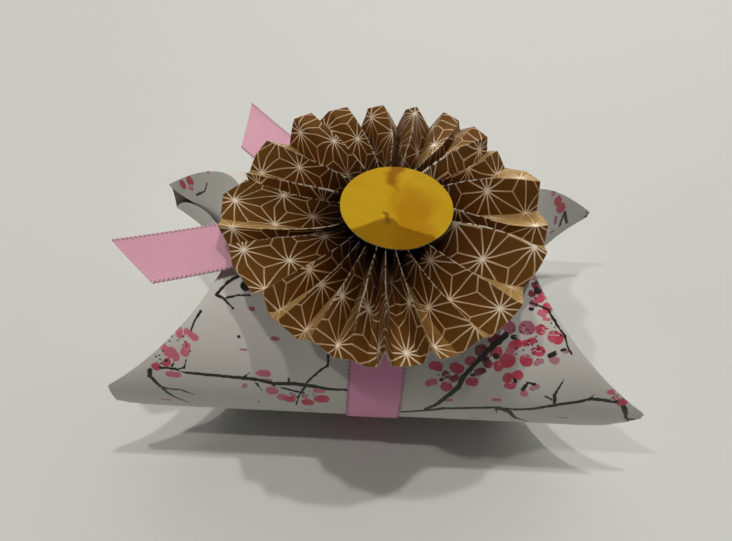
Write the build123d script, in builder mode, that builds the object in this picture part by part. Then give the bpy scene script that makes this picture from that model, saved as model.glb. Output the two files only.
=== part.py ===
from build123d import *

import math
import os

# Pillow gift box with a ribbon, a pleated paper rosette and a foil disc.
# Millimetres. The origin is the middle of the ribbon's underside, on which
# the box rests. +X runs along the box, +Y to its back and +Z up.

# Paper tube that the box is folded from
tube_length = 97.0
belly_width = 51.5
belly_height = 42.0
tube_wall = 0.4
tube_shift = 0.85
belly_flat_rise = 0.4

# End creases: each lies in a plane that starts this far above or below the
# long edges, at the tube's end, and leans this many degrees from its axis
left_front_nose = 2.2
left_back_nose = 3.6
right_front_nose = 1.3
right_back_nose = 1.5
upper_crease_lean = 38.9
left_under_nose = 3.8
left_under_crease_lean = 37.5
right_under_nose = 0.2
right_under_crease_lean = 46.4

# Ribbon
ribbon_width = 10.0
ribbon_thickness = 0.3
ribbon_gap = 0.1
knot_press = 0.1

# Ribbon tails, each as stations along its middle: x, y, how far it lies
# below the knot's layer, its heading and its roll in degrees
left_tail_route = [
    (3, 0, 0, 185, 0),
    (-14, -2.5, 0.1, 190, 0),
    (-27, -6.5, 0.2, 190, 2),
    (-60, -12.3, 2.4, 190, 10),
]
left_tail_cut = (-44.5, -10)
left_tail_cut_angle = 45
back_tail_route = [
    (1, -3, 0, 135, 0),
    (-9, 6, 0.1, 137, 0),
    (-25.4, 22.6, 0.5, 125, 0),
    (-40, 43, 0.8, 125, -4),
]
back_tail_cut = (-28.7, 27)
back_tail_cut_angle = 0

# Rosette: one strip of paper, folded to and fro and closed to a ring
fold_spacing = 7.0
deepest_pleat = 6.0
eye_pleat_depth = 5.6
widest_spread = 0.9
rosette_radius = 29.3
rosette_eye = 2.4
rosette_paper = 0.4
rosette_forward = 2.2
rosette_gap = 0.1
ridge_azimuths = [
    19, 32, 43, 58, 68, 80, 91, 108, 117, 130, 144, 160,
    169, 187, 200, 219, 236, 246, 258, 270, 285, 302, 321, 346,
]

# Foil disc
disc_radius = 9.7
disc_thickness = 0.3
disc_shift = 1.9
disc_gap = 0.1

# Places that follow from the sizes above
half_width = belly_width / 2
half_height = belly_height / 2
tube_underside = ribbon_thickness + ribbon_gap
tube_axis = tube_underside + half_height - belly_flat_rise
tube_left = tube_shift - tube_length / 2
tube_right = tube_shift + tube_length / 2
band_top = tube_axis + half_height + ribbon_gap + ribbon_thickness
knot_top = band_top + 2 * (ribbon_thickness - knot_press)
valley_level = knot_top + rosette_gap
ridge_level = valley_level + eye_pleat_depth
disc_level = ridge_level + rosette_paper + disc_gap


def oval(x, inset):
    """Section of the tube, inset from its outside, with the belly's flat."""
    with BuildSketch(Plane.YZ.offset(x)) as outline:
        with Locations((0, tube_axis)):
            Ellipse(half_width - inset, half_height - inset)
        with Locations((0, tube_underside + inset)):
            Rectangle(
                belly_width,
                belly_height,
                align=(Align.CENTER, Align.MAX),
                mode=Mode.SUBTRACT,
            )
    return outline.sketch


def crease_plane(end_x, inward, side, front_nose, back_nose, lean):
    """Plane of an end crease, facing away from the panel that stays."""
    rise = half_height - (front_nose + back_nose) / 2
    crown_depth = rise / math.tan(math.radians(lean))
    front = Vector(end_x, -half_width, tube_axis + side * front_nose)
    back = Vector(end_x, half_width, tube_axis + side * back_nose)
    crown = Vector(end_x + inward * crown_depth, 0, tube_axis + side * half_height)
    outward = (back - front).cross(crown - front)
    if outward.X * inward > 0:
        outward = outward * -1
    return Plane(origin=crown, x_dir=back - front, z_dir=outward)


# At the left end the under flap lies outside the upper one, at the right inside
creases = [
    crease_plane(tube_left, 1, 1, left_front_nose, left_back_nose, upper_crease_lean),
    crease_plane(
        tube_left, 1, -1, left_under_nose, left_under_nose, left_under_crease_lean
    ),
    crease_plane(
        tube_right, -1, 1, right_front_nose, right_back_nose, upper_crease_lean
    ),
    crease_plane(
        tube_right, -1, -1, right_under_nose, right_under_nose, right_under_crease_lean
    ),
]


# Plain tube, before its ends are folded
with BuildPart() as tube:
    extrude(oval(tube_left, 0), amount=tube_length)
    extrude(oval(tube_left, tube_wall), amount=tube_length, mode=Mode.SUBTRACT)

# End flaps: what lies past a crease is turned back about the crease's plane
flaps = []
for crease in creases:
    with BuildPart() as flap:
        add(tube.part)
        split(bisect_by=crease, keep=Keep.TOP)
        mirror(about=crease, mode=Mode.REPLACE)
    flaps.append(flap.part)

# Pillow box: the panels inside the creases, with their flaps
with BuildPart() as pillow_box:
    add(tube.part)
    for crease in creases:
        split(bisect_by=crease, keep=Keep.BOTTOM)
    for folded_flap in flaps:
        add(folded_flap)


def tail_section(station, layer):
    """Ribbon's section at a station, square to the way the tail runs."""
    x, y, drop, heading, roll = station
    along = Vector(math.cos(math.radians(heading)), math.sin(math.radians(heading)), 0)
    across = Vector(0, 0, 1).cross(along).rotate(Axis((0, 0, 0), along), roll)
    middle = (x, y, layer - drop)
    with BuildSketch(Plane(origin=middle, x_dir=across, z_dir=along)) as section:
        Rectangle(ribbon_width, ribbon_thickness)
    return section.sketch


def cut_plane(point, angle):
    """Upright plane of a tail's slanting cut, facing the part that stays."""
    facing = (math.cos(math.radians(angle)), math.sin(math.radians(angle)), 0)
    return Plane(origin=(*point, 0), x_dir=(0, 0, 1), z_dir=facing)


# Ribbon tails: the left one lies on the band and the back one crosses it
lower_layer = band_top - knot_press + ribbon_thickness / 2
upper_layer = lower_layer + ribbon_thickness - knot_press
with BuildPart() as left_tail:
    loft([tail_section(station, lower_layer) for station in left_tail_route])
    split(bisect_by=cut_plane(left_tail_cut, left_tail_cut_angle), keep=Keep.TOP)

with BuildPart() as back_tail:
    loft([tail_section(station, upper_layer) for station in back_tail_route])
    split(bisect_by=cut_plane(back_tail_cut, back_tail_cut_angle), keep=Keep.TOP)

# Ribbon: a band about the tube's middle, with both tails over its top
with BuildPart() as ribbon:
    band_outside = oval(-ribbon_width / 2, -ribbon_gap - ribbon_thickness)
    band_inside = oval(-ribbon_width / 2, -ribbon_gap)
    extrude(band_outside, amount=ribbon_width)
    extrude(band_inside, amount=ribbon_width, mode=Mode.SUBTRACT)
    add(left_tail.part)
    add(back_tail.part)


def fold_profile(azimuth, eye_level, rim_level):
    """Section of the pleated paper along one fold, from the eye to the rim."""
    radial = Vector(math.cos(math.radians(azimuth)), math.sin(math.radians(azimuth)), 0)
    upright = Plane(
        origin=(0, -rosette_forward, 0),
        x_dir=radial,
        z_dir=radial.cross(Vector(0, 0, 1)),
    )
    with BuildSketch(upright) as profile:
        with BuildLine():
            Polyline(
                (rosette_eye, eye_level),
                (rosette_radius, rim_level),
                (rosette_radius, rim_level + rosette_paper),
                (rosette_eye, eye_level + rosette_paper),
                close=True,
            )
        make_face()
    return profile.sketch


# Rosette: between two ridge folds the paper drops to a valley fold, which is
# shallower where the ridges stand further apart
with BuildPart() as rosette:
    following_ridges = ridge_azimuths[1:] + [ridge_azimuths[0] + 360]
    for ridge, next_ridge in zip(ridge_azimuths, following_ridges):
        half_pleat = (next_ridge - ridge) / 2
        chord = 2 * rosette_radius * math.sin(math.radians(half_pleat) / 2)
        spread = min(chord, widest_spread * fold_spacing)
        depth = min(deepest_pleat, math.sqrt(fold_spacing**2 - spread**2))
        valley = fold_profile(ridge + half_pleat, valley_level, ridge_level - depth)
        for azimuth in (ridge, next_ridge):
            loft([fold_profile(azimuth, ridge_level, ridge_level), valley], ruled=True)

# Foil disc: glued over the rosette's eye
with BuildPart() as gold_disc:
    with BuildSketch(Plane.XY.offset(disc_level)):
        with Locations((disc_shift, -rosette_forward)):
            Circle(disc_radius)
    extrude(amount=disc_thickness)

pillow_box.part.label = "pillow_box"
ribbon.part.label = "ribbon"
rosette.part.label = "rosette"
gold_disc.part.label = "gold_disc"

os.makedirs("parts", exist_ok=True)
for piece in (pillow_box, ribbon, rosette, gold_disc):
    export_step(piece.part, f"parts/{piece.part.label}.step")
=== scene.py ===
import math

import bmesh
import bpy
import numpy as np
from mathutils import Matrix, Vector, noise


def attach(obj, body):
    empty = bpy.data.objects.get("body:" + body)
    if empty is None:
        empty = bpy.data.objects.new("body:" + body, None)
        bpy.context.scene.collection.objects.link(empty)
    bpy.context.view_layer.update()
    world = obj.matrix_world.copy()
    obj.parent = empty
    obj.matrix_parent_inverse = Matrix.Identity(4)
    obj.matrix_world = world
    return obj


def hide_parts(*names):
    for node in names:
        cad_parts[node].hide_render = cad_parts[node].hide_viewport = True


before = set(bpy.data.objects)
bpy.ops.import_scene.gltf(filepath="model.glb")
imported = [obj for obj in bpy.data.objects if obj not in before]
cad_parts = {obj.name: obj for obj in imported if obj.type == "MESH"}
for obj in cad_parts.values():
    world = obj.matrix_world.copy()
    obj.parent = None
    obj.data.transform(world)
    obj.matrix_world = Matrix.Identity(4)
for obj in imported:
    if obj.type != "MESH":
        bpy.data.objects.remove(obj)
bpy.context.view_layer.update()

# Pillow gift box with a satin ribbon, a pleated paper rosette and a foil disc.
# Sizes are in millimetres until a piece's mesh is finished.
MM = 0.001

# Paper tube that the box is folded from
tube_length = 97.0
half_width = 25.75
half_height = 21.0
tube_wall = 0.4
tube_middle = 0.85
tube_underside = 0.4
tube_axis = 21.0
half_length = tube_length / 2
tube_left = tube_middle - half_length
tube_right = tube_middle + half_length

# How far along the tube, and how far up its side, a flap's free end bulges
bulge_length = 8.0
bulge_height = 17.0

# Ribbon, with small loops along its edges
ribbon_width = 10.0
ribbon_thickness = 0.3
ribbon_gap = 0.1
knot_press = 0.1
woven_share = 0.985
loop_pitch = 0.75
loop_reach = 0.1
satin_thickness = 0.22
band_top = tube_axis + half_height + ribbon_gap + ribbon_thickness
lower_layer = band_top - knot_press + ribbon_thickness / 2
upper_layer = lower_layer + ribbon_thickness - knot_press

# Rosette
rosette_radius = 29.3
rosette_eye = 2.4
rosette_forward = 2.2
rosette_paper = 0.4
pleat_paper = 0.2
ridge_level = 48.5
valley_level = 42.9
knee_level = 45.6
star_spacing = 8.2

# Slack by which a fold's number may miss a whole one
hair = 0.001

# Without a seed the noise vectors differ from run to run
sway_seed = 1

# Foil disc
disc_radius = 9.7
disc_shift = 1.9
disc_level = 49.0
disc_thickness = 0.3
disc_card = 0.25

# Refraction of paper and satin
fibre_ior = 1.45

# Materials


class Finish:
    """A material whose pattern is worked out by its nodes. Where a value is
    asked for, it is a number, a colour or another node's socket."""

    def __init__(self, name, **shader_values):
        self.material = bpy.data.materials.new(name)
        self.material.use_nodes = True
        self.tree = self.material.node_tree
        self.shader = self.tree.nodes["Principled BSDF"]
        for socket, value in shader_values.items():
            self.put(self.shader.inputs[socket.replace("_", " ")], value)

    def put(self, socket, value):
        """Sets a socket to a number or a colour, or links it."""
        if isinstance(value, bpy.types.NodeSocket):
            self.tree.links.new(value, socket)
        elif isinstance(value, tuple) and socket.type == "RGBA":
            socket.default_value = (*value, 1.0)
        else:
            socket.default_value = value

    def node(self, kind, inputs=(), **settings):
        made = self.tree.nodes.new("ShaderNode" + kind)
        for name, value in settings.items():
            setattr(made, name, value)
        for place, value in dict(inputs).items():
            self.put(made.inputs[place], value)
        return made

    def reckon(self, operation, *values):
        """One Math node."""
        return self.node("Math", enumerate(values), operation=operation).outputs[0]

    def plus(self, first, second):
        return self.reckon("ADD", first, second)

    def minus(self, first, second):
        return self.reckon("SUBTRACT", first, second)

    def times(self, first, second):
        return self.reckon("MULTIPLY", first, second)

    def apart(self, value, place):
        """How far a value is from a place, to either side."""
        return self.reckon("ABSOLUTE", self.minus(value, place))

    def wave(self, value, pitch):
        """Goes from -1 to 1 and back each time that value grows by pitch."""
        return self.reckon("SINE", self.times(value, 2 * math.pi / pitch))

    def span(self, value, low, high, at_low, at_high, kind="SMOOTHSTEP"):
        inputs = {"Value": value, "From Min": low, "From Max": high}
        inputs.update({"To Min": at_low, "To Max": at_high})
        return self.node("MapRange", inputs, interpolation_type=kind).outputs["Result"]

    def rise(self, value, low, high):
        """0 where value is low or less, and 1 where it is high or more."""
        return self.span(value, low, high, 0.0, 1.0)

    def fall(self, value, low, high):
        """1 where value is low or less, and 0 where it is high or more."""
        return self.span(value, low, high, 1.0, 0.0)

    def spread(self, value, low, high):
        """From low to high as value goes from 0 to 1."""
        return self.span(value, 0.0, 1.0, low, high, "LINEAR")

    def blend(self, amount, first, second):
        """The first colour where amount is 0, and the second where it is 1."""
        inputs = {0: amount, 6: first, 7: second}
        return self.node("Mix", inputs, data_type="RGBA").outputs[2]

    def attribute(self, name):
        return self.node("Attribute", attribute_name=name).outputs

    def object_place(self):
        """Object coordinates in millimetres."""
        inputs = {0: self.node("TexCoord").outputs["Object"], "Scale": 1 / MM}
        return self.node("VectorMath", inputs, operation="SCALE").outputs[0]

    def sheet_place(self):
        """A piece's own flat coordinates, in millimetres."""
        return self.node("UVMap", uv_map="flat").outputs[0]

    def cloud(self, place, scale, detail=3.0, roughness=0.5):
        inputs = {"Vector": place, "Scale": scale, "Detail": detail, "Roughness": roughness}
        return self.node("TexNoise", inputs).outputs[0]

    def fibre(self, place, scale):
        return self.cloud(place, scale, 4, 0.65)

    def parts(self, vector):
        return self.node("SeparateXYZ", {0: vector}).outputs

    def vector(self, x, y, z):
        return self.node("CombineXYZ", {0: x, 1: y, 2: z}).outputs[0]

    def bump(self, height, distance):
        """Raises the surface by height times distance, in millimetres."""
        normal = self.shader.inputs["Normal"]
        inputs = {"Height": height, "Distance": distance * MM, "Strength": 1.0}
        if normal.is_linked:
            inputs["Normal"] = normal.links[0].from_socket
        self.put(normal, self.node("Bump", inputs).outputs[0])

    def colour(self, value):
        self.put(self.shader.inputs["Base Color"], value)

    def rough(self, value):
        self.put(self.shader.inputs["Roughness"], value)


def plain_paper(name, dark, light):
    """Unprinted paper or card with a faint fibre."""
    finish = Finish(name, IOR=fibre_ior)
    fibre = finish.fibre(finish.object_place(), 2.2)
    finish.colour(finish.blend(fibre, dark, light))
    finish.rough(finish.spread(fibre, 0.6, 0.8))
    finish.bump(fibre, 0.015)
    return finish.material


# Meshes


def in_scene(name, data):
    """New object that holds the data, linked to the scene."""
    made = bpy.data.objects.new(name, data)
    bpy.context.scene.collection.objects.link(made)
    return made


def finished(bm, name, finish, node):
    """Turns a mesh in millimetres into a piece that stands for a CAD node."""
    bmesh.ops.scale(bm, vec=(MM, MM, MM), verts=bm.verts)
    for face in bm.faces:
        face.smooth = True
    for edge in bm.edges:
        if edge.is_boundary:
            edge.smooth = False
    mesh = bpy.data.meshes.new(name)
    bm.to_mesh(mesh)
    bm.free()
    mesh.materials.append(finish.material)
    piece = in_scene(name, mesh)
    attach(piece, "root")
    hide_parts(node)
    return piece


def thicken(piece, thickness, back=0, rim=0):
    """Gives a sheet its thickness, half to each side. Its back and its cut
    edges take the materials that come so many after its own."""
    wall = piece.modifiers.new("thickness", "SOLIDIFY")
    wall.thickness = thickness * MM
    wall.offset = 0
    wall.material_offset = back
    wall.material_offset_rim = rim


def flat_grid(width, length, across, along, middle=(0, 0)):
    """Flat sheet about a middle, width along x and length along y, whose UV
    map keeps its flat places."""
    bm = bmesh.new()
    laid = Matrix.Translation((*middle, 0)) @ Matrix.Diagonal((width / 2, length / 2, 1, 1))
    bmesh.ops.create_grid(bm, x_segments=across, y_segments=along, size=1, matrix=laid)
    flat = bm.loops.layers.uv.new("flat")
    for face in bm.faces:
        for loop in face.loops:
            loop[flat].uv = loop.vert.co.xy
    return bm


def everything(bm):
    return bm.verts[:] + bm.edges[:] + bm.faces[:]


# Print on the pillow box, on its flat sheet: x along the tube, then how far
# round from the crown line towards the front, both in millimetres
ink = (0.012, 0.012, 0.008)
crimson = (0.60, 0.045, 0.095)
rose = (0.64, 0.15, 0.22)
blush = (0.50, 0.22, 0.26)
mauve = (0.40, 0.11, 0.16)
# Crimson darkened as painted shade, for petals that lie in the rosette's shadow
crimson_in_painted_shade = (0.22, 0.02, 0.03)
white = (0.60, 0.56, 0.55)

# Each branch or twig: its points, and its thickness at its start and end
branches = [
    ([(-38.5, 29.2), (-36, 29.3), (-34, 30), (-29.5, 30.3), (-25, 30.6)], 0.45, 0.7),
    ([(-25, 30.6), (-22, 30.8), (-18.5, 31.6), (-15.5, 31.4), (-12, 31.7)], 0.7, 0.85),
    ([(-12, 31.7), (-9, 32.3), (-5, 32.2), (0, 32.5)], 0.8, 0.3),
    ([(-40.3, 29.8), (-40.5, 31.2), (-39, 33.8)], 0.75, 0.6),
    ([(-39, 33.8), (-38, 34.3), (-35.5, 34.5), (-33.5, 35.8)], 0.5, 0.25),
    ([(-39, 33.8), (-37.5, 36.6), (-35, 39.5)], 0.6, 0.25),
    ([(-36.7, 29.3), (-36, 28)], 0.5, 0.25),
    ([(-35.6, 29.4), (-34.3, 29), (-33.9, 27.4)], 0.4, 0.2),
    ([(-24.3, 30.7), (-23, 29.4)], 0.5, 0.15),
    ([(-22.2, 31), (-21, 33.5)], 0.55, 0.15),
    ([(-16, 31.5), (-16.2, 30)], 0.9, 0.15),
    ([(-13.3, 31.6), (-12.3, 30), (-10.5, 28)], 0.35, 0.4),
    ([(-10.5, 28), (-9.4, 27.2), (-9.3, 25)], 0.4, 0.5),
    ([(-18.8, 32), (-15.5, 33.2), (-13.6, 33.6)], 0.45, 0.5),
    ([(-13.2, 31.8), (-14.5, 34.7), (-15, 37.8)], 0.5, 0.2),
    ([(-31.5, 18.6), (-32.4, 20.2), (-33, 22)], 0.4, 0.3),
    ([(-24, 11.2), (-27.2, 13.2), (-29, 15.6)], 0.55, 0.5),
    ([(-29, 15.6), (-27.7, 16.2), (-26, 17.8)], 0.5, 0.2),
    ([(-27.7, 16.2), (-25.3, 15.5), (-23.3, 15.4)], 0.4, 0.25),
    ([(21, 20), (19, 22), (17.5, 23.6)], 1.1, 0.9),
    ([(17.5, 23.6), (15.9, 25.6), (14.4, 28), (13.7, 30.4)], 0.8, 1.0),
    ([(13.7, 30.4), (11.8, 33), (10.2, 35.5), (8.8, 37)], 1.0, 0.8),
    ([(0, 39.6), (5, 39), (8, 38), (12, 36.4)], 0.6, 1.0),
    ([(12, 36.4), (16.5, 35.8), (21, 35.4), (25, 35.7)], 0.8, 0.7),
    ([(25, 35.7), (28, 35.2), (32, 33.6)], 0.7, 0.8),
    ([(32, 33.6), (35.5, 32.5), (38, 31.6), (42, 32)], 0.8, 0.7),
    ([(37.4, 31.8), (38, 30.6)], 0.8, 0.15),
    ([(31.7, 33.6), (31, 31), (32, 27.6)], 0.8, 0.2),
    ([(31.2, 32.4), (29.4, 31.5)], 0.6, 0.2),
    ([(21.8, 35.4), (24, 36.5), (25.8, 39.3), (28.5, 41.5)], 1.1, 0.4),
    ([(21.3, 35.4), (22, 37.4)], 0.5, 0.15),
    ([(43.5, 33.2), (45.2, 35.6), (46.6, 39)], 0.8, 0.4),
    ([(46, 37), (49, 38.2)], 0.6, 0.35),
    ([(25.3, 14.2), (28.2, 15.2), (29.8, 17.9)], 0.3, 0.4),
    ([(29.8, 17.9), (31.2, 19.6), (31.8, 21.4), (32.7, 22.8)], 0.35, 0.3),
    ([(-46, -26.6), (-43.6, -24.2), (-41, -23.5)], 0.5, 0.3),
    ([(-42, -38), (-41.5, -40.3), (-40.5, -43)], 0.5, 0.25),
    ([(-41.6, -40.1), (-39.8, -42)], 0.3, 0.2),
    ([(45, -28.9), (46.8, -29.4), (48.6, -30)], 0.9, 0.6),
    ([(45.3, -28.9), (46.8, -28.2), (48.6, -27.8)], 0.7, 0.6),
    ([(47.5, -43.5), (45.5, -45.5)], 0.5, 0.3),
    # Sides that the photograph doesn't show
    ([(-40, -33), (-30, -30.5), (-20, -31.5), (-8, -29.5)], 0.6, 1.0),
    ([(-20, -31.5), (-16, -27), (-15, -22), (-11, -18)], 0.7, 0.3),
    ([(-8, -29.5), (2, -31), (14, -28), (24, -29.5), (36, -27)], 1.0, 0.4),
    ([(14, -28), (18, -23.5), (19, -18)], 0.7, 0.25),
    ([(24, -29.5), (29, -34), (30, -39)], 0.6, 0.3),
    ([(-30, -30.5), (-27, -36), (-21, -41)], 0.6, 0.25),
    ([(-38, -52), (-24, -49), (-10, -51.5), (3, -49)], 0.5, 0.9),
    ([(3, -49), (18, -51), (32, -48)], 0.9, 0.4),
    ([(-34, 56), (-20, 53), (-6, 55), (10, 52), (28, 55)], 0.6, 0.5),
]

# Petals: middle, length and width, which way each points in degrees, colour
petals = [
    (-39.2, 29, 1.8, 1.5, 40, crimson), (-37.3, 28, 2.0, 1.5, 120, crimson),
    (-36.4, 30.6, 2.8, 1.4, 5, rose), (-36.2, 26.4, 3.0, 2.1, 60, rose),
    (-33.9, 25.4, 2.8, 1.6, 100, rose), (-33.0, 22.7, 3.0, 1.2, 35, rose),
    (-37.4, 25.6, 2.8, 1.3, 60, rose), (-35.0, 22.2, 2.8, 1.4, 60, rose),
    (-20.6, 29.4, 2.6, 1.5, 0, rose), (-20.0, 31, 2.0, 1.0, 0, blush),
    (-19.2, 33.5, 2.4, 2.2, 20, rose), (-24, 32.5, 1.5, 0.9, 110, blush),
    (-17.4, 35.2, 1.5, 2.2, 30, rose), (-16.1, 35.8, 2.2, 2.2, 30, crimson),
    (-15.3, 34.6, 1.5, 0.9, 60, blush), (-12.9, 36.6, 2.4, 2.5, 10, crimson),
    (-10.4, 35.2, 3.0, 2.5, 5, crimson), (-10.8, 32.9, 2.2, 1.0, 0, rose),
    (-13.4, 34.6, 1.6, 1.0, 60, rose),
    (-23.3, 14, 1.6, 1.5, 20, crimson),
    (-43.6, -28.4, 2.2, 2.0, 30, crimson), (-45.6, -30.2, 2.0, 1.6, 0, crimson),
    (-45.2, -28.2, 1.6, 1.0, 60, rose), (-37.5, -23.5, 1.8, 1.0, 0, crimson),
    (26, 9, 2.6, 2.4, 30, blush), (27.5, 12.3, 2.6, 2.4, 70, crimson),
    (28, 15, 2.0, 1.7, 60, crimson), (25.7, 14.3, 1.6, 1.2, 20, mauve),
    (26.2, 11, 1.8, 1.6, 0, crimson_in_painted_shade), (27.4, 10.6, 2.0, 1.6, 80, crimson),
    (26.7, 13.1, 2.2, 1.8, 100, crimson), (27.1, 16, 1.8, 1.2, 20, rose),
    (25.4, 12.6, 1.4, 1.2, 0, crimson_in_painted_shade),
    (24.5, 18.6, 3.0, 2.5, 0, mauve), (27, 18.8, 1.6, 2.0, 10, crimson),
    (29.6, 20, 3.0, 2.2, 20, crimson), (28, 17, 1.4, 0.5, 0, rose),
    (25.2, 21, 2.8, 1.2, 160, crimson), (22.8, 21.6, 2.6, 1.8, 150, crimson),
    (26.8, 22.5, 2.6, 1.8, 10, crimson), (21.6, 24.4, 2.6, 3.0, 80, crimson),
    (24.9, 24.3, 2.6, 2.2, 40, crimson), (27.2, 24.5, 2.0, 1.1, 150, blush),
    (29.8, 24, 2.0, 1.5, 20, blush), (31.5, 22.3, 1.2, 0.8, 20, blush),
    (22.2, 27.8, 1.5, 2.1, 90, crimson), (23.8, 27.2, 1.7, 2.2, 130, crimson),
    (22.8, 29.4, 2.2, 1.8, 10, crimson), (25.6, 31, 1.8, 1.3, 60, rose),
    (27.2, 29.6, 2.0, 1.2, 150, blush),
    (19.2, 20.8, 2.8, 2.0, 20, crimson_in_painted_shade), (18.2, 25, 2.4, 1.6, 60, crimson_in_painted_shade),
    (21.4, 18.6, 2.6, 2.2, 40, mauve), (19.4, 23, 2.6, 2.0, 10, crimson),
    (20.2, 25.6, 2.2, 1.8, 70, crimson), (17, 22.8, 2.4, 2.0, 150, crimson_in_painted_shade),
    (15.4, 25, 2.4, 1.8, 20, crimson), (21.8, 22.8, 2.0, 1.4, 0, rose),
    (9.3, 26.2, 2.6, 1.8, 10, crimson), (8.9, 29.6, 2.4, 1.6, 150, rose),
    (11.6, 30.3, 2.4, 2.2, 60, crimson), (13, 26.4, 2.8, 2.0, 30, crimson),
    (12.8, 28.5, 2.2, 1.4, 150, crimson_in_painted_shade), (16, 29, 2.4, 1.9, 10, crimson),
    (17.2, 26.8, 2.2, 1.4, 160, crimson_in_painted_shade), (11.3, 27.8, 2.0, 1.4, 90, crimson_in_painted_shade),
    (12.3, 33.6, 1.8, 0.8, 0, rose), (21, 33, 1.8, 0.8, 0, rose),
    (-18.6, 22.7, 1.6, 0.7, 0, mauve), (-22.8, 17.7, 1.1, 0.8, 0, mauve),
    (42.8, 32, 2.2, 1.8, 30, crimson), (40.7, 29.8, 1.4, 1.0, 30, rose),
    (43.8, 31, 2.6, 0.8, 20, crimson), (41.6, 31, 1.4, 1.0, 100, rose),
    (40.6, -26.5, 3.2, 2.0, 155, crimson), (43.2, -27.7, 3.2, 2.4, 150, crimson),
    (45.9, -26.4, 2.6, 0.9, 0, mauve), (45.5, -45, 2.0, 1.3, 20, crimson),
]

# Whole blossoms on the sides that the photograph doesn't show: middle, size
blossoms = [
    (-15, -20.5, 2.9), (-10.5, -16.8, 2.3), (-27, -31.5, 2.7), (-20.5, -41.5, 2.5),
    (18.5, -17.5, 2.9), (21.5, -21.5, 2.2), (29.5, -40, 2.7), (36, -26, 2.3),
    (-7.5, -30.5, 2.5), (12, -27, 2.3), (3.5, -48, 2.8), (30, -47.5, 2.5),
    (-24, -49.5, 2.4), (-36, 55.5, 2.4), (-7, 54, 2.8), (25, 54.5, 2.5),
]

# Stamens, each a fan of short strokes: foot, spread of directions, length
stamens = [
    (-35.2, 24.9, -150, 20, 1.8), (-37.6, 27.4, 130, 260, 1.3),
    (24, 20.4, -170, -10, 1.9), (28.4, 19.6, -160, 0, 1.8),
    (24.6, 23.6, -170, 10, 1.9), (25.6, 22.6, -130, 0, 1.7),
    (11.2, 28.4, -160, 60, 1.5),
    (-12.4, 35, -170, -20, 1.5), (-17, 34.2, -120, 30, 1.3),
    (42, 31.4, 150, 330, 1.2),
]

# Dark dots, calyxes and dashes: middle, length and width, direction, colour
marks = [
    (-24.2, 13.8, 1.2, 1.9, 0, ink), (-24.8, 22.6, 0.6, 0.55, 0, ink),
    (-24, 24.9, 1.3, 0.3, 0, mauve), (-13, 40.6, 1.2, 0.4, 0, ink),
    (-5, 40.8, 1.1, 0.5, 150, ink), (-4.4, 42, 0.9, 0.5, 20, ink),
    (-39, 38.6, 2.0, 0.4, 0, mauve), (-21.8, 37.4, 0.8, 0.4, 60, mauve),
    (29.4, 23, 1.9, 0.9, 150, ink), (31.2, 22.1, 1.1, 0.5, 160, ink),
    (25.4, 29.6, 1.8, 0.8, 110, ink), (26.4, 28.8, 1.9, 0.6, 10, ink),
    (23.5, 28.3, 1.2, 0.6, 60, ink), (26.8, 10.4, 1.8, 0.6, 170, ink),
    (26.4, 12, 1.4, 1.3, 0, ink), (25.3, 15.3, 1.0, 0.6, 0, ink),
    (22.4, 20.3, 1.2, 0.9, 0, ink), (18.3, 40.8, 1.1, 0.3, 0, ink),
    (34.5, 38.2, 2.0, 0.25, 0, ink), (16, 27.6, 1.0, 0.7, 0, ink),
    (10.6, 28.9, 0.8, 0.8, 0, ink), (-37.4, 27.7, 0.6, 0.5, 0, ink),
    (19.6, 23.8, 1.3, 1.0, 40, ink), (17.7, 24.4, 1.0, 0.8, 0, ink),
    (-6, 22, 0.9, 0.5, 20, mauve), (-3, -38, 0.9, 0.5, 0, mauve),
    (8, -40, 0.7, 0.6, 0, ink), (-14, -38, 0.9, 0.4, 30, mauve),
    (-30, 44, 0.8, 0.5, 0, mauve), (14, 46, 0.9, 0.5, 0, mauve),
    (34, -34, 0.8, 0.6, 0, ink), (-33, -42, 0.9, 0.4, 0, mauve),
]

stamens_in_fan = 7

# What lies under comes first. Strokes that overlap are in different layers,
# and each layer's edges wander by so many millimetres.
layer_wander = {
    "petals_under": 0.45,
    "petals_over": 0.45,
    "branches": 0.5,
    "branches_over": 0.5,
    "marks": 0.12,
    "stamens": 0.12,
    "dots": 0.12,
}


def stroke_run(points, start, end):
    """The straight strokes of a branch, each with its two thicknesses."""
    lengths = [math.dist(a, b) for a, b in zip(points, points[1:])]
    done, total, run = 0.0, sum(lengths), []
    for a, b, length in zip(points, points[1:], lengths):
        thick = [start + (end - start) * part / total for part in (done, done + length)]
        run.append((*a, *b, thick[0] / 2, thick[1] / 2, ink))
        done += length
    return run


def oval_stroke(x, y, length, width, direction, colour):
    """A petal or a mark as one short stroke with round ends."""
    reach = max(length - width, 0.02) / 2
    turn = math.radians(direction)
    dx, dy = reach * math.cos(turn), reach * math.sin(turn)
    radius = width / 2
    return (x - dx, y - dy, x + dx, y + dy, radius * 0.9, radius, colour)


def blossom_petals(x, y, size, number):
    """Five petals round a middle, turned by the blossom's number."""
    strokes = []
    for petal in range(5):
        turn = number * 37 + petal * 72
        out = size * 0.55
        px = x + out * math.cos(math.radians(turn))
        py = y + out * math.sin(math.radians(turn))
        tone = (crimson, rose, crimson, blush, rose)[(petal + number) % 5]
        strokes.append(oval_stroke(px, py, size * 0.95, size * 0.72, turn, tone))
    return strokes


def stamen_fan(x, y, first, last, length):
    """White stamens that spread from a foot, and a dark dot past each."""
    lines, dots = [], []
    for number in range(stamens_in_fan):
        turn = math.radians(first + (last - first) * number / (stamens_in_fan - 1))
        reach = length * (0.8 + 0.25 * math.sin(number * 2.4))
        tip = (x + reach * math.cos(turn), y + reach * math.sin(turn))
        dot = (x + 1.14 * reach * math.cos(turn), y + 1.14 * reach * math.sin(turn))
        lines.append((x, y, *tip, 0.07, 0.05, white))
        dots.append((*dot, dot[0] + 0.1, dot[1], 0.12, 0.12, ink))
    return lines, dots


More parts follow.
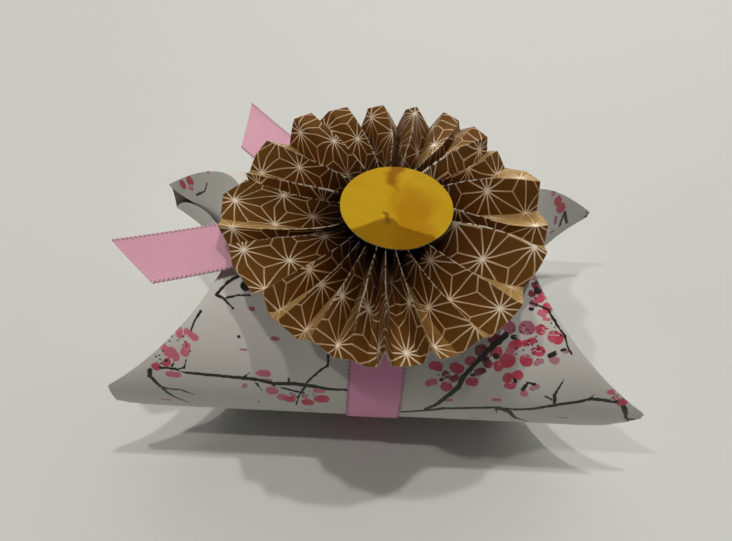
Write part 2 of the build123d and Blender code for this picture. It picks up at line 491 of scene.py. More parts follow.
def print_strokes():
    """The print's strokes by layer. Each has its start and end, its radius at
    both, and its colour."""
    petal_strokes = [oval_stroke(*petal) for petal in petals]
    fans = []
    for number, (x, y, size) in enumerate(blossoms):
        petal_strokes += blossom_petals(x, y, size, number)
        fans.append((x, y, number * 37, number * 37 + 309, size * 0.5))
    layers = {"petals_under": petal_strokes[0::2], "petals_over": petal_strokes[1::2]}
    branch_strokes = [stroke for branch in branches for stroke in stroke_run(*branch)]
    layers.update({"branches": branch_strokes[0::2], "branches_over": branch_strokes[1::2]})
    layers.update({"marks": [oval_stroke(*mark) for mark in marks], "stamens": [], "dots": []})
    for fan in fans + stamens:
        lines, dots = stamen_fan(*fan)
        layers["stamens"] += lines
        layers["dots"] += dots
    return layers


def lay_print(mesh, name, strokes):
    """Stores on each face's corners where they are in the frame of the
    stroke nearest to that face: along it from its middle, across it, and
    half its length. The stroke's colour and radius are stored with them."""
    corners = np.empty(len(mesh.loops) * 2)
    mesh.uv_layers["flat"].data.foreach_get("uv", corners)
    corners = corners.reshape(-1, 2)
    first = np.empty(len(mesh.polygons), int)
    count = np.empty(len(mesh.polygons), int)
    mesh.polygons.foreach_get("loop_start", first)
    mesh.polygons.foreach_get("loop_total", count)
    middles = np.add.reduceat(corners, first, axis=0) / count[:, None]
    table = np.array([s[:6] for s in strokes])
    tones = np.array([s[6] for s in strokes])
    start, run = table[:, 0:2], table[:, 2:4] - table[:, 0:2]
    length = np.hypot(*run.T)
    run = run / length[:, None]
    thick, grow = table[:, 4], table[:, 5] - table[:, 4]

    def frame_of(points, stroke):
        away = points - start[stroke]
        along = (away * run[stroke]).sum(-1)
        across = away[..., 1] * run[stroke][..., 0] - away[..., 0] * run[stroke][..., 1]
        return along, across

    best = np.full(len(middles), np.inf)
    nearest = np.zeros(len(middles), int)
    for stroke in range(len(strokes)):
        along, across = frame_of(middles, np.full(len(middles), stroke))
        past = np.abs(along - length[stroke] / 2) - length[stroke] / 2
        share = np.clip(along / length[stroke], 0, 1)
        gap = np.hypot(np.maximum(past, 0), across) - thick[stroke] - grow[stroke] * share
        closer = gap < best
        best[closer], nearest[closer] = gap[closer], stroke
    of_corner = np.repeat(nearest, count)
    along, across = frame_of(corners, of_corner)
    share = np.clip(along / length[of_corner], 0, 1)
    radius = thick[of_corner] + grow[of_corner] * share
    centred = along - length[of_corner] / 2
    place = np.stack([centred, across, length[of_corner] / 2], 1)
    tone = np.concatenate([tones[of_corner], radius[:, None]], 1)
    stored = mesh.attributes.new(name + "_place", "FLOAT_VECTOR", "CORNER")
    stored.data.foreach_set("vector", place.astype(np.float32).ravel())
    stored = mesh.attributes.new(name + "_tone", "FLOAT_COLOR", "CORNER")
    stored.data.foreach_set("color", tone.astype(np.float32).ravel())


def past_stroke(finish, name):
    """How far a place is past the edge of its stroke in a layer, and the
    stroke's colour."""
    x, y, half = finish.parts(finish.attribute(name + "_place")["Vector"])
    tone = finish.attribute(name + "_tone")
    past_end = finish.minus(finish.reckon("ABSOLUTE", x), half)
    past_end = finish.reckon("MAXIMUM", past_end, 0.0)
    squares = finish.plus(finish.times(past_end, past_end), finish.times(y, y))
    return finish.minus(finish.reckon("SQRT", squares), tone["Alpha"]), tone["Color"]


def printed_paper():
    """White paper with the blossom print, worn pale along its creases."""
    finish = Finish("printed_paper", IOR=fibre_ior)
    place = finish.sheet_place()
    wander = finish.minus(finish.cloud(place, 1.1), 0.5)
    soft = finish.cloud(finish.object_place(), 0.06, 2)
    fibre = finish.fibre(finish.object_place(), 2.2)
    wash = finish.times(finish.rise(finish.cloud(place, 0.7, 2), 0.35, 0.75), 0.35)
    colour = finish.blend(soft, (0.61, 0.585, 0.545), (0.66, 0.635, 0.595))
    for name, reach in layer_wander.items():
        gap, tint = past_stroke(finish, name)
        gap = finish.plus(gap, finish.times(wander, reach))
        if name.startswith("petals"):
            tint = finish.blend(wash, tint, (0.55, 0.20, 0.25))
        colour = finish.blend(finish.fall(gap, -0.06, 0.1), colour, tint)
    worn = finish.fall(finish.attribute("crease")["Fac"], 0.05, 0.4)
    worn = finish.times(worn, finish.rise(fibre, 0.35, 0.7))
    finish.colour(finish.blend(finish.times(worn, 0.5), colour, (0.60, 0.59, 0.57)))
    finish.rough(finish.spread(fibre, 0.42, 0.6))
    finish.bump(fibre, 0.012)
    finish.bump(soft, 0.25)
    return finish


# Pillow box


def section_places(inset):
    """Places round half of the tube's section, inset from its outside, and
    how far round from the crown line each is along the outside."""
    turn = np.linspace(0, math.pi, 2001)

    def outline(gap):
        y = -(half_width - gap) * np.sin(turn)
        z = tube_axis + (half_height - gap) * np.cos(turn)
        return y, np.maximum(z, tube_underside + gap)

    y, z = outline(0)
    walked = np.concatenate([[0], np.cumsum(np.hypot(np.diff(y), np.diff(z)))])
    return walked, *outline(inset)


def rolled(round_by, section):
    """Where a place on the flat sheet comes to lie across the tube."""
    walked, section_y, section_z = section
    y = float(np.interp(abs(round_by), walked, section_y))
    z = float(np.interp(abs(round_by), walked, section_z))
    return math.copysign(1, round_by) * y, z


class Crease:
    """Plane of an end crease, facing away from the panel that stays. The
    flap past it bulges at its free end, and tucks in by a share of its depth."""

    def __init__(self, end_x, inward, side, front_nose, back_nose, lean, bulge, tuck):
        rise = half_height - (front_nose + back_nose) / 2
        crown_depth = rise / math.tan(math.radians(lean))
        front = Vector((end_x, -half_width, tube_axis + side * front_nose))
        back = Vector((end_x, half_width, tube_axis + side * back_nose))
        self.point = Vector((end_x + inward * crown_depth, 0, tube_axis + side * half_height))
        self.facing = (back - front).cross(self.point - front).normalized()
        if self.facing.x * inward > 0:
            self.facing = -self.facing
        self.inward, self.side, self.bulge, self.tuck = inward, side, bulge, tuck
        self.nose = (front_nose + back_nose) / 2

    def past(self, place):
        return (place - self.point).dot(self.facing)

    def stretch(self, place):
        """How far the flap's free end bulges past the tube's end there."""
        above = (place.z - tube_axis) * self.side - self.nose
        from_end = half_length - abs(place.x - tube_middle)
        other_end = (place.x - tube_middle) * self.inward > 0
        if above <= 0 or from_end > bulge_length or other_end:
            return 0
        grown = self.bulge * (1 - math.exp(-1.2 * above / self.bulge))
        flatter = 1 - 0.75 * min(above / bulge_height, 1) ** 2
        return grown * flatter * (1 - from_end / bulge_length)


# Each crease: the tube's end, which way is inward, upper or under, how far
# its noses at the front and the back lie from the long edges, its lean in
# degrees, and its flap's bulge and tuck
end_creases = [
    Crease(tube_left, 1, 1, 2.2, 3.6, 38.9, 2.9, 0.06),
    Crease(tube_left, 1, -1, 3.8, 3.8, 37.5, 2.6, 0),
    Crease(tube_right, -1, 1, 1.3, 1.5, 38.9, 1.8, 0),
    Crease(tube_right, -1, -1, 0.2, 0.2, 46.4, 0.8, 0.06),
]


def dent(bm, crease_layer):
    """Shallow dents in the card, away from its creases, crown and belly."""
    for vert in bm.verts:
        if 2 < vert.co.z < 41.5:
            depth = noise.noise(vert.co * 0.07) * 0.22 + noise.noise(vert.co * 0.16) * 0.07
            from_end = min(vert.co.x - tube_left, tube_right - vert.co.x)
            stiff = min(vert[crease_layer] / 6, from_end / 6, 1)
            vert.co += vert.normal * min(depth, 0) * stiff


def turn_in_flaps(bm):
    """Mirrors what lies past each crease in the crease's plane."""
    for vert in bm.verts:
        for crease in end_creases:
            past = crease.past(vert.co)
            if past > 0.03:
                vert.co -= 2 * past * crease.facing
                vert.co.x += crease.inward * crease.tuck * past
                break


def make_pillow_box():
    """Rolls the printed sheet to the tube and turns its ends in."""
    section = section_places(tube_wall / 2)
    girth = 2 * section[0][-1]
    bm = flat_grid(tube_length, girth, 110, 168)
    for vert in bm.verts:
        vert.co = (tube_middle + vert.co.x, *rolled(vert.co.y, section))
    bmesh.ops.remove_doubles(bm, verts=bm.verts, dist=0.01)
    for vert in bm.verts:
        vert.co.x -= sum(crease.inward * crease.stretch(vert.co) for crease in end_creases)
    for crease in end_creases:
        bmesh.ops.bisect_plane(
            bm, geom=everything(bm), dist=0.02, plane_co=crease.point, plane_no=crease.facing
        )
    bm.normal_update()
    crease_layer = bm.verts.layers.float.new("crease")
    for vert in bm.verts:
        vert[crease_layer] = min(abs(crease.past(vert.co)) for crease in end_creases)
    dent(bm, crease_layer)
    turn_in_flaps(bm)
    for edge in bm.edges:
        if all(vert[crease_layer] < 0.03 for vert in edge.verts):
            edge.smooth = False
    bmesh.ops.reverse_faces(bm, faces=bm.faces)
    bm.normal_update()
    piece = finished(bm, "pillow_box_paper", printed_paper(), "pillow_box")
    for name, strokes in print_strokes().items():
        lay_print(piece.data, name, strokes)
    inside = plain_paper("card_inside", (0.15, 0.12, 0.095), (0.22, 0.18, 0.145))
    cut_edge = plain_paper("card_cut_edge", (0.42, 0.40, 0.37), (0.52, 0.50, 0.47))
    piece.data.materials.append(inside)
    piece.data.materials.append(cut_edge)
    thicken(piece, tube_wall, back=1, rim=2)


# Rosette

# Each fold as it runs over the rosette: its azimuth near the disc, halfway and
# at the rim, then the rim's radius and level there. A knee is a soft bend
# between a ridge and a valley.
folds = [
    ("valley", 20, 13.5, 12.5, 29.2, 43.2), ("ridge", 32, 25, 17, 29.3, 48.5),
    ("knee", 33, 29, 26, 29.2, 46.9), ("valley", 34, 34, 36, 28.9, 43.6),
    ("ridge", 36, 38, 42, 29.2, 45.9), ("valley", 38, 42, 46, 28.8, 44.6),
    ("ridge", 55, 52, 47.5, 29.2, 47.4), ("knee", 57, 55, 54.5, 29.3, 48.1),
    ("valley", 60, 58, 59.5, 29.0, 46.0), ("ridge", 63, 59, 61, 29.3, 47.9),
    ("knee", 65, 65, 67, 29.3, 48.6), ("valley", 69, 70, 71.7, 28.9, 44.0),
    ("ridge", 74, 76, 78, 29.3, 48.4), ("knee", 77, 80, 82, 29.3, 47.3),
    ("valley", 80, 83, 85.2, 28.7, 42.9), ("ridge", 85, 87, 91, 29.3, 47.9),
    ("knee", 88, 92, 97.5, 29.3, 47.0), ("valley", 92, 96, 100, 28.6, 42.8),
    ("ridge", 97, 102, 106, 29.3, 47.7), ("knee", 100, 107, 113, 29.3, 47.3),
    ("valley", 104, 112, 117, 28.9, 45.6), ("ridge", 112, 117, 120, 29.3, 47.9),
    ("knee", 119, 123, 128, 29.2, 47.9), ("valley", 126, 129, 132, 28.3, 43.0),
    ("ridge", 136, 141, 141, 29.2, 46.3), ("knee", 141, 145, 148, 29.0, 45.4),
    ("valley", 147, 150, 154, 28.5, 43.4), ("ridge", 160, 163, 163, 26.4, 47.5),
    ("valley", 166, 167, 165.5, 25.2, 46.0), ("ridge", 177, 172, 168, 25.4, 48.0),
    ("knee", 183, 178, 174, 28.6, 46.3), ("valley", 192, 187, 184, 28.2, 45.3),
    ("ridge", 211, 199, 190, 28.4, 46.9), ("valley", 213, 202, 196, 27.2, 45.0),
    ("ridge", 217, 206, 200.5, 27.2, 47.8), ("knee", 222, 213, 209, 27.8, 46.5),
    ("valley", 229, 223, 219, 26.8, 44.8), ("ridge", 233, 228, 224, 26.2, 47.2),
    ("valley", 239, 234, 230.5, 27.6, 45.2), ("ridge", 243, 240, 237, 28.9, 48.0),
    ("valley", 247, 244, 243.5, 28.6, 45.6), ("ridge", 251, 249, 248.7, 29.2, 48.2),
    ("valley", 257, 255, 256, 29.0, 44.9), ("ridge", 262, 260, 261, 29.2, 45.9),
    ("valley", 266, 266, 266, 29.0, 44.4), ("knee", 268, 268.5, 269, 29.2, 44.9),
    ("ridge", 270.7, 270.7, 270.7, 28.4, 48.2), ("knee", 273, 273, 273.2, 29.2, 45.3),
    ("valley", 275.5, 276.5, 277.5, 29.2, 45.0), ("knee", 278, 280, 281.7, 29.2, 45.3),
    ("ridge", 280, 282.3, 284, 28.5, 48.2), ("knee", 282.5, 285, 286.8, 29.2, 45.6),
    ("valley", 285.5, 290, 293, 29.3, 45.2), ("ridge", 291, 296.5, 300.5, 29.1, 47.6),
    ("valley", 298, 302, 306.5, 28.6, 44.8), ("knee", 303, 309, 313, 28.5, 46.2),
    ("ridge", 311, 316.5, 319, 28.4, 47.9), ("valley", 323, 327, 332, 26.7, 44.0),
    ("knee", 333, 338, 338, 27.5, 45.8), ("ridge", 346, 349, 343.5, 28.0, 47.6),
    ("valley", 354, 351.5, 350, 28.0, 45.8), ("ridge", 366, 355, 357, 28.2, 47.5),
]


def hemp_leaf(finish, x, y):
    """How far a place is from the nearest line of a hemp-leaf pattern, and
    from the nearest star in which its lines meet. The lines split triangles
    in three, so each place is first given its shares in its triangle."""
    row = star_spacing * math.sqrt(3) / 2
    along_rows = finish.reckon("DIVIDE", finish.plus(y, 1.4), row)
    across_rows = finish.reckon("DIVIDE", x, star_spacing)
    across_rows = finish.minus(across_rows, finish.times(along_rows, 0.5))
    f = finish.reckon("FRACT", across_rows)
    g = finish.reckon("FRACT", along_rows)
    both = finish.plus(f, g)
    upper = finish.reckon("GREATER_THAN", both, 1.0)
    lower = finish.minus(1.0, upper)

    def share(in_lower, in_upper):
        return finish.plus(finish.times(lower, in_lower), finish.times(upper, in_upper))

    first = share(finish.minus(1.0, both), finish.minus(both, 1.0))
    second = share(f, finish.minus(1.0, f))
    third = share(g, finish.minus(1.0, g))
    least = finish.reckon("MINIMUM", finish.reckon("MINIMUM", first, second), third)
    most = finish.reckon("MAXIMUM", finish.reckon("MAXIMUM", first, second), third)
    middle = finish.minus(finish.minus(1.0, most), least)
    edge_line = finish.times(least, row)
    leaf_line = finish.times(finish.minus(middle, least), star_spacing / 2)
    from_star = finish.times(finish.minus(1.0, most), row)
    return finish.reckon("MINIMUM", edge_line, leaf_line), from_star


def bronze_with_painted_light(finish, out, fibre):
    """Bronze brown, with painted shade that darkens it towards the disc and painted light that
    makes it paler towards the rim, and a painted gold sheen on the sides of the pleats that lean
    to the back."""
    shade = finish.cloud(finish.object_place(), 0.09)
    brown = finish.blend(shade, (0.078, 0.023, 0.003), (0.112, 0.039, 0.006))
    # Painted light: paler towards the rim
    brown = finish.blend(finish.rise(out, 12.0, 29.0), brown, (0.15, 0.062, 0.012))
    # Painted shade: darker towards the disc
    brown = finish.blend(finish.fall(out, 9.0, 17.0), brown, (0.030, 0.010, 0.0015))
    brown = finish.blend(finish.times(fibre, 0.15), brown, (0.19, 0.09, 0.022))
    # Painted sheen: gold on the faces that lean to the back, fading towards the disc
    painted_back_sheen = finish.rise(finish.attribute("lean_back")["Fac"], 0.0, 0.5)
    painted_back_sheen = finish.times(painted_back_sheen, finish.rise(out, 8.0, 20.0))
    return finish.blend(finish.times(painted_back_sheen, 0.7), brown, (0.56, 0.35, 0.11))


def rosette_paper_finish():
    """Bronze brown paper with cream hemp-leaf lines, star-like glints where the lines meet, and
    ink that is cracked off along the ridges. Painted shade darkens the paper, its lines and its
    stars towards the disc, and a painted gold sheen lies on the pleat sides that lean to the back."""
    finish = Finish(
        "rosette_paper", IOR=fibre_ior, Specular_IOR_Level=0.1, Metallic=0.5
    )
    place = finish.sheet_place()
    along, out, _ = finish.parts(place)
    along = finish.plus(along, finish.times(finish.cloud(place, 0.12, 1), 0.5))
    line, from_star = hemp_leaf(finish, along, out)
    width = finish.plus(0.035, finish.times(finish.cloud(place, 1.6), 0.08))
    lines = finish.fall(line, width, finish.plus(width, 0.09))
    fibre = finish.fibre(place, 3.0)
    near_star = finish.fall(from_star, 0.5, 3.0)
    cream = finish.blend(near_star, (0.62, 0.43, 0.25), (0.88, 0.70, 0.50))
    # Painted shade: the lines darker towards the disc
    cream = finish.blend(finish.fall(out, 9.0, 19.0), cream, (0.26, 0.16, 0.09))
    brown = bronze_with_painted_light(finish, out, fibre)
    colour = finish.blend(finish.times(lines, 0.9), brown, cream)
    # Painted shade: the stars duller towards the disc
    star = finish.blend(finish.fall(out, 11.0, 20.0), (0.92, 0.80, 0.67), (0.42, 0.30, 0.22))
    colour = finish.blend(finish.fall(from_star, 0.1, 0.6), colour, star)
    broken = finish.cloud(finish.vector(0.0, out, along), 1.6, 2)
    broken = finish.times(finish.rise(broken, 0.44, 0.54), finish.fall(out, 17.0, 27.0))
    crack = finish.fall(finish.attribute("fold")["Fac"], 0.06, 0.17)
    finish.colour(finish.blend(finish.times(crack, broken), colour, (0.90, 0.82, 0.70)))
    finish.rough(finish.spread(fibre, 0.42, 0.54))
    finish.bump(fibre, 0.015)
    finish.bump(lines, 0.02)
    return finish


def fold_place(fold, share):
    """Where a fold is, a share of the way from the rosette's eye to its rim."""
    kind, near_disc, halfway, at_rim, rim_radius, rim_level = fold
    radius = rosette_eye + (rim_radius - rosette_eye) * share
    past = max(radius - disc_radius, 0) / (rim_radius - disc_radius)
    azimuth = (
        near_disc * (1 - past) * (1 - 2 * past)
        + halfway * 4 * past * (1 - past)
        + at_rim * past * (2 * past - 1)
    )
    eye_level = {"ridge": ridge_level, "valley": valley_level, "knee": knee_level}[kind]
    level = eye_level + (rim_level - eye_level) * (past**2 if kind == "ridge" else share)
    turn = math.radians(azimuth)
    y = radius * math.sin(turn) - rosette_forward
    return Vector((radius * math.cos(turn), y, level + rosette_paper / 2))


def rim_lengths():
    """How far along the rim each fold is, and the whole rim's length last."""
    rim = [fold_place(fold, 1) for fold in folds]
    steps = [(b - a).length for a, b in zip(rim, rim[1:] + rim[:1])]
    return np.concatenate([[0], np.cumsum(steps)])


def on_sharp_fold(vert, flat):
    number = vert.link_loops[0][flat].uv.x
    nearest = round(number)
    return abs(number - nearest) < hair and folds[nearest % len(folds)][0] != "knee"


def fold_sheet():
    """Sheet laid straight from each fold to the next, whose ends are joined
    and which bends softly where it isn't folded. Its UV map keeps the fold's
    number, and the share of the way from the eye to the rim."""
    count = len(folds)
    bm = flat_grid(count, 1, count * 12, 12, (count / 2, 0.5))
    for vert in bm.verts:
        number, share, _ = vert.co
        before = int(number + hair)
        first, second = (folds[fold % count] for fold in (before, before + 1))
        part = max(number - before, 0)
        vert.co = fold_place(first, share).lerp(fold_place(second, share), part)
    bmesh.ops.remove_doubles(bm, verts=bm.verts, dist=0.01)
    flat = bm.loops.layers.uv["flat"]
    free = [
        vert for vert in bm.verts
        if hair < vert.link_loops[0][flat].uv.y < 1 - hair and not on_sharp_fold(vert, flat)
    ]
    for _ in range(6):
        bmesh.ops.smooth_vert(
            bm, verts=free, factor=0.5, use_axis_x=True, use_axis_y=True, use_axis_z=True
        )
    return bm


def loosen(bm):
    """Small sways of the paper, which grow from the disc to the rim."""
    noise.seed_set(sway_seed)
    for vert in bm.verts:
        radius = math.hypot(vert.co.x, vert.co.y + rosette_forward)
        loose = min(max((radius - 11) / 10, 0), 1)
        sway = noise.noise_vector(vert.co * 0.13) * 0.35 + noise.noise_vector(vert.co * 0.3) * 0.14
        sway.z = min(sway.z, 0) * 0.7
        outward = Vector((vert.co.x, vert.co.y + rosette_forward, 0)).normalized()
        out = sway.dot(outward)
        if radius + out > rosette_radius:
            sway -= outward * (radius + out - rosette_radius)
        vert.co += sway * loose


def make_rosette():
    """One strip pleated to and fro, from the eye out to a scalloped rim."""
    bm = fold_sheet()
    bmesh.ops.recalc_face_normals(bm, faces=bm.faces)
    if sum(face.normal.z for face in bm.faces) < 0:
        bmesh.ops.reverse_faces(bm, faces=bm.faces)
    loosen(bm)
    walked = rim_lengths()
    ridges = [walked[number] for number, fold in enumerate(folds) if fold[0] == "ridge"]
    fold_layer = bm.verts.layers.float.new("fold")
    flat = bm.loops.layers.uv["flat"]
    for edge in bm.edges:
        if all(on_sharp_fold(vert, flat) for vert in edge.verts):
            edge.smooth = False
    for face in bm.faces:
        for loop in face.loops:
            number, share = loop[flat].uv
            along = float(np.interp(number, range(len(folds) + 1), walked))
            loop[flat].uv = (along, rosette_eye + share * (rosette_radius - rosette_eye))
            loop.vert[fold_layer] = min(abs(along - ridge) for ridge in ridges)
    piece = finished(bm, "rosette_strip", rosette_paper_finish(), "rosette")
    # How far each face leans to the back, which the paper's painted gold sheen follows
    facings = np.empty(len(piece.data.polygons) * 3)
    piece.data.polygons.foreach_get("normal", facings)
    stored = piece.data.attributes.new("lean_back", "FLOAT", "FACE")
    stored.data.foreach_set("value", facings[1::3].astype(np.float32))
    back = plain_paper("rosette_back", (0.20, 0.15, 0.10), (0.27, 0.21, 0.15))
    cut_edge = plain_paper("rosette_cut_edge", (0.40, 0.33, 0.25), (0.50, 0.43, 0.34))
    piece.data.materials.append(back)
    piece.data.materials.append(cut_edge)
    thicken(piece, pleat_paper, back=1, rim=2)


# Ribbon


def satin():
    """Pink satin with a fine slanting weave and looped edges. Down the box's sides it is painted a
    brighter, deeper pink, painted light for the satin's sheen in the shade."""
    finish = Finish(
        "satin_ribbon", IOR=fibre_ior, Specular_IOR_Level=0.3, Anisotropic=0.4,
        Sheen_Weight=0.1, Sheen_Roughness=0.4, Sheen_Tint=(1.0, 0.8, 0.86),
    )
    place = finish.sheet_place()
    across, along, _ = finish.parts(place)
    height = finish.parts(finish.object_place())[2]
    weave = finish.wave(finish.plus(across, finish.times(along, 0.55)), 0.55)
    weft = finish.wave(along, 0.28)
    drift = finish.cloud(place, 0.35, 2)
    colour = finish.blend(drift, (0.60, 0.28, 0.375), (0.66, 0.335, 0.43))
    # Painted light: brighter, deeper pink low on the band, for the satin's sheen in the shade
    painted_side_sheen = finish.fall(height, 34.0, 41.5)
    colour = finish.blend(finish.times(painted_side_sheen, 0.9), colour, (0.92, 0.33, 0.58))
    threads = finish.rise(weave, -0.6, 0.9)
    colour = finish.blend(finish.times(threads, 0.35), colour, (0.70, 0.44, 0.52))
    from_edge = finish.minus(ribbon_width / 2, finish.reckon("ABSOLUTE", across))
    edge = finish.fall(from_edge, 0.3, 0.55)
    loops = finish.rise(finish.wave(along, loop_pitch), -0.2, 0.6)
    selvedge = finish.blend(loops, (0.34, 0.15, 0.20), (0.58, 0.38, 0.43))
    finish.colour(finish.blend(finish.times(edge, 0.75), colour, selvedge))
    finish.rough(finish.spread(drift, 0.34, 0.48))
    finish.bump(weave, 0.012)
    finish.bump(weft, 0.006)
    finish.bump(finish.times(loops, edge), 0.05)
    return finish


def with_loops(across, along):
    """A place across the ribbon, moved out or in where it is on an edge's
    loops."""
    on_edge = abs(across) > ribbon_width / 2 - 0.05
    reach = math.copysign(loop_reach, across) * math.sin(along * 2 * math.pi / loop_pitch)
    return across * woven_share + (reach if on_edge else 0)


def band_strip():
    """The ribbon's turn about the tube's middle."""
    section = section_places(-(ribbon_gap + ribbon_thickness / 2))
    girth = 2 * section[0][-1]
    bm = flat_grid(ribbon_width, girth, 10, 780)
    for vert in bm.verts:
        across, round_by = vert.co.x, vert.co.y
        vert.co = (with_loops(across, round_by), *rolled(round_by, section))
    bmesh.ops.remove_doubles(bm, verts=bm.verts, dist=0.01)
    return bm


def smooth_route(stations, count):
    """Stations along a tail, evenly spaced on a smooth line through them."""
    table = np.array(stations, float)
    steps = np.hypot(*np.diff(table[:, :2], axis=0).T)
    walked = np.concatenate([[0], np.cumsum(steps)])
    fine = np.linspace(0, walked[-1], count)
    slope = np.gradient(table, walked, axis=0)
    before = np.clip(np.searchsorted(walked, fine) - 1, 0, len(walked) - 2)
    span = (walked[before + 1] - walked[before])[:, None]
    t = (fine[:, None] - walked[before][:, None]) / span
    from_before = table[before] * (2 * t**3 - 3 * t**2 + 1)
    from_before += slope[before] * span * (t**3 - 2 * t**2 + t)
    from_after = table[before + 1] * (3 * t**2 - 2 * t**3)
    from_after += slope[before + 1] * span * (t**3 - t**2)
    return fine, (from_before + from_after).T


def tail_strip(stations, layer, cut_point, cut_angle, curl):
    """A tail's flat strip, laid along its stations and cut slanting."""
    fine, columns = smooth_route(stations, 400)
    length = fine[-1]
    bm = flat_grid(ribbon_width, length, 14, int(length / 0.19))
    for vert in bm.verts:
        across, along = vert.co.x, vert.co.y + length / 2
        x, y, drop, heading, roll = (float(np.interp(along, fine, c)) for c in columns)
        turn = math.radians(heading)
        ahead = Vector((math.cos(turn), math.sin(turn), 0))
        side = Vector((0, 0, 1)).cross(ahead)
        side.rotate(Matrix.Rotation(math.radians(roll), 3, ahead))
        up = ahead.cross(side)
        wide = with_loops(across, along)
        rise = curl(across / (ribbon_width / 2), along / length)
        vert.co = Vector((x, y, layer - drop)) + side * wide + up * rise
    cut = math.radians(cut_angle)
    bmesh.ops.bisect_plane(
        bm, geom=everything(bm), dist=0.001, plane_co=(*cut_point, 0),
        plane_no=(math.cos(cut), math.sin(cut), 0), clear_inner=True,
    )
    return bm


def left_curl(across, along):
    return 0.25 * along * math.sin(along * 5 + 1) * (1 - across * across)


def back_curl(across, along):
    return 1.6 * max(along - 0.35, 0) * max(-across - 0.3, 0) ** 2


# Each tail's stations: x, y, how far it lies below its layer, its heading
# and its roll in degrees
left_route = [
    (3, 0, 0, 185, 0),
    (-14, -2.7, 0.1, 190, -1),
    (-27, -7.0, 0.4, 192, -6),
    (-60, -14.8, 2.4, 193, -14),
]
back_route = [
    (1, -3, 0, 135, 0),
    (-9, 6, 0.1, 137, 0),
    (-25.4, 22.6, 0.7, 130, 0),
    (-40, 39, 1.4, 132, 0),
]


def make_ribbon():
    """Band and both tails, which are one length of ribbon."""
    bm = band_strip()
    tails = [
        tail_strip(left_route, lower_layer, (-43.3, -10.7), 48, left_curl),
        tail_strip(back_route, upper_layer, (-28.7, 27), 0, back_curl),
    ]
    for tail in tails:
        laid = bpy.data.meshes.new("tail")
        tail.to_mesh(laid)
        tail.free()
        bm.from_mesh(laid)
        bpy.data.meshes.remove(laid)
    bm.normal_update()
    piece = finished(bm, "ribbon_satin", satin(), "ribbon")
    thicken(piece, satin_thickness)


# Foil disc


def foil():
    """Gold foil on card, creased a little where it was pressed on. Its colour holds painted
    reflections: a more orange patch right of the middle, and dull patches at a pinched spot at the
    back, under a fold at the front and at a mark by the middle."""
    finish = Finish("gold_foil", Metallic=1.0)
    place = finish.object_place()
    x, y, _ = finish.parts(place)
    wander = finish.minus(finish.cloud(place, 0.24), 0.5)
    x = finish.plus(finish.minus(x, disc_shift), finish.times(wander, 6.0))
    y = finish.plus(finish.plus(y, rosette_forward), finish.times(wander, 4.0))
    # Light and dark patches in the gold, painted reflections of small dents
    dents = finish.cloud(place, 0.16, 2)
    grain = finish.cloud(place, 1.8)

    # Painted reflection: a more orange patch right of the middle
    painted_orange_reflection = finish.times(finish.rise(x, -1.8, 1.6), finish.fall(x, 4.6, 8.0))
    painted_orange_reflection = finish.times(painted_orange_reflection, finish.fall(y, 1.5, 6.0))
    # Painted reflection: dull along a pinched spot at the back
    painted_pinch_width = finish.times(finish.minus(y, 3.6), 0.36)
    painted_pinch_reflection = finish.fall(finish.minus(finish.apart(x, -0.4), painted_pinch_width), -0.9, 0.8)
    fold_line = finish.plus(y, finish.times(finish.apart(x, -1.8), 0.52))
    # Painted reflection: dull under the fold at the front
    painted_reflection_under_fold = finish.fall(finish.plus(fold_line, 3.0), -0.6, 0.3)
    # Painted reflection: a small dark mark by the middle
    mark = finish.times(
        finish.fall(finish.apart(x, -2.1), 0.25, 0.8),
        finish.fall(finish.apart(y, -3.2), 1.0, 2.0),
    )
    colour = finish.blend(dents, (0.47, 0.265, 0.007), (0.56, 0.345, 0.014))
    # Each painted reflection tints the gold by its strength
    for amount, strength, tint in (
        (painted_orange_reflection, 0.6, (0.36, 0.14, 0.003)),
        (painted_pinch_reflection, 0.7, (0.19, 0.04, 0.001)),
        (painted_reflection_under_fold, 0.7, (0.15, 0.06, 0.002)),
        (mark, 0.7, (0.12, 0.05, 0.004)),
    ):
        colour = finish.blend(finish.times(amount, strength), colour, tint)
    finish.colour(colour)
    finish.rough(finish.spread(grain, 0.18, 0.3))
    finish.bump(grain, 0.01)
    return finish


def make_disc():
    """Round of foil, a little uneven as it follows the pleats under it."""
    bm = bmesh.new()
    bmesh.ops.create_circle(bm, cap_ends=True, cap_tris=True, segments=72, radius=disc_radius)
    bmesh.ops.subdivide_edges(bm, edges=bm.edges[:], cuts=11, use_grid_fill=True)
    for vert in bm.verts:
        uneven = noise.noise(vert.co * 0.22) * 0.16 + noise.noise(vert.co * 0.5) * 0.05
        front_fold = max(0, -(vert.co.y + 3 + 0.52 * abs(vert.co.x + 1.8)))
        vert.co.z = uneven - 0.05 * front_fold
    middle = (disc_shift, -rosette_forward, disc_level + disc_thickness / 2)
    bmesh.ops.translate(bm, verts=bm.verts, vec=middle)
    bm.normal_update()
    piece = finished(bm, "foil_disc", foil(), "gold_disc")
    card = plain_paper("disc_card", (0.62, 0.55, 0.40), (0.72, 0.66, 0.52))
    piece.data.materials.append(card)
    thicken(piece, disc_card, back=1, rim=1)


# Table, camera and light. Lamps are in metres and watts.


def make_stage():
    """Pale table that goes out of sight behind the box."""
    bm = bmesh.new()
    bmesh.ops.create_grid(bm, x_segments=2, y_segments=2, size=1.6)
    mesh = bpy.data.meshes.new("table")
    bm.to_mesh(mesh)
    bm.free()
    finish = Finish("table", Roughness=0.6)
    soft = finish.cloud(finish.object_place(), 0.004, 2)
    finish.colour(finish.blend(soft, (0.60, 0.61, 0.585), (0.63, 0.64, 0.61)))
    mesh.materials.append(finish.material)
    in_scene("table", mesh)


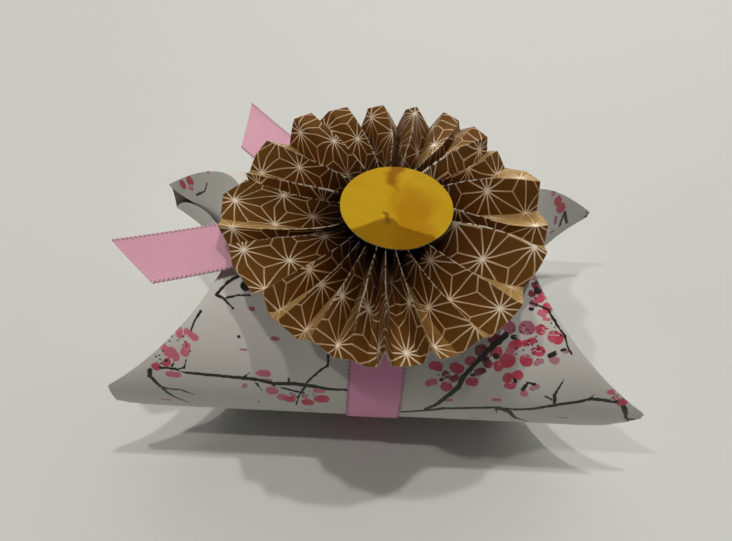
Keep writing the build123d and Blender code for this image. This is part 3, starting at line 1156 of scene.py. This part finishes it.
def make_camera():
    """Where the photograph was taken from, from a fit to its long edges."""
    camera = in_scene("camera", bpy.data.cameras.new("camera"))
    camera.data.lens = 30.318
    camera.data.sensor_width = 36.0
    camera.data.clip_start = 0.005
    stands_at = Vector((-4.707, -76.851, 124.393))
    pitch, yaw, roll = (math.radians(a) for a in (51.3622, 1.6805, 4.2769))
    turn = (
        Matrix.Rotation(-yaw, 4, "Z")
        @ Matrix.Rotation(math.pi / 2 - pitch, 4, "X")
        @ Matrix.Rotation(roll, 4, "Z")
    )
    camera.matrix_world = Matrix.Translation(stands_at * MM) @ turn
    bpy.context.scene.camera = camera


def make_lamp(name, place, aim, energy, colour, size, glossy=True, diffuse=True, **settings):
    """An area lamp that shines from a place towards its aim."""
    lamp = in_scene(name, bpy.data.lights.new(name, "AREA"))
    lamp.data.energy, lamp.data.color, lamp.data.size = energy, colour, size
    for setting, value in settings.items():
        setattr(lamp.data, setting, value)
    lamp.rotation_euler = (Vector(aim) - Vector(place)).to_track_quat("-Z", "Y").to_euler()
    lamp.location = place
    lamp.visible_glossy = glossy
    lamp.visible_diffuse = diffuse


def make_light():
    """Ceiling lamps above and just behind the box, with a pale wall and a
    window behind it, and a dim room."""
    box = (0, 0, 0)
    warm, pale, cool = (1.0, 0.97, 0.92), (1.0, 0.98, 0.95), (0.97, 0.99, 1.0)
    for name, place, energy in (
        ("ceiling_lamp_right", (0.24, 0.15, 1.4), 5.2),
        ("ceiling_lamp_left", (-0.22, 0.09, 1.4), 4.6),
        ("ceiling_lamp_far_left", (-0.71, -0.18, 1.4), 4.4),
    ):
        make_lamp(name, place, box, energy, warm, 0.05, glossy=False, shape="DISK")
    make_lamp("back_wall", (0.1, 1.45, 1.5), (0, 0, 0.03), 16.0, (1.0, 0.98, 0.94), 2.4)
    make_lamp(
        "far_window", (0.6, 1.9, 0.5), (0, 0, 0.05), 12.0, (1.0, 0.97, 0.9), 2.4,
        shape="RECTANGLE", size_y=0.8,
    )
    make_lamp("left_wall", (-1.9, -0.2, 1.0), box, 2.8, cool, 1.4)
    make_lamp("right_wall", (1.9, 0.3, 1.0), box, 5.0, cool, 1.4)
    # Pale surfaces that only the foil and the satin show
    make_lamp("ceiling", (0, -0.2, 2.2), box, 8.0, pale, 2.6, diffuse=False)
    make_lamp(
        "front_wall", (0, -2.2, 1.0), (0, 0, 0.05), 6.0, pale, 3.0,
        diffuse=False, shape="RECTANGLE", size_y=1.6,
    )
    world = bpy.data.worlds.new("room")
    bpy.context.scene.world = world
    world.use_nodes = True
    room = world.node_tree.nodes["Background"].inputs
    room["Color"].default_value = (0.93, 0.96, 1.0, 1.0)
    room["Strength"].default_value = 0.010


make_pillow_box()
make_ribbon()
make_rosette()
make_disc()
make_stage()
make_camera()
make_light()
bpy.context.scene.view_settings.view_transform = "Standard"
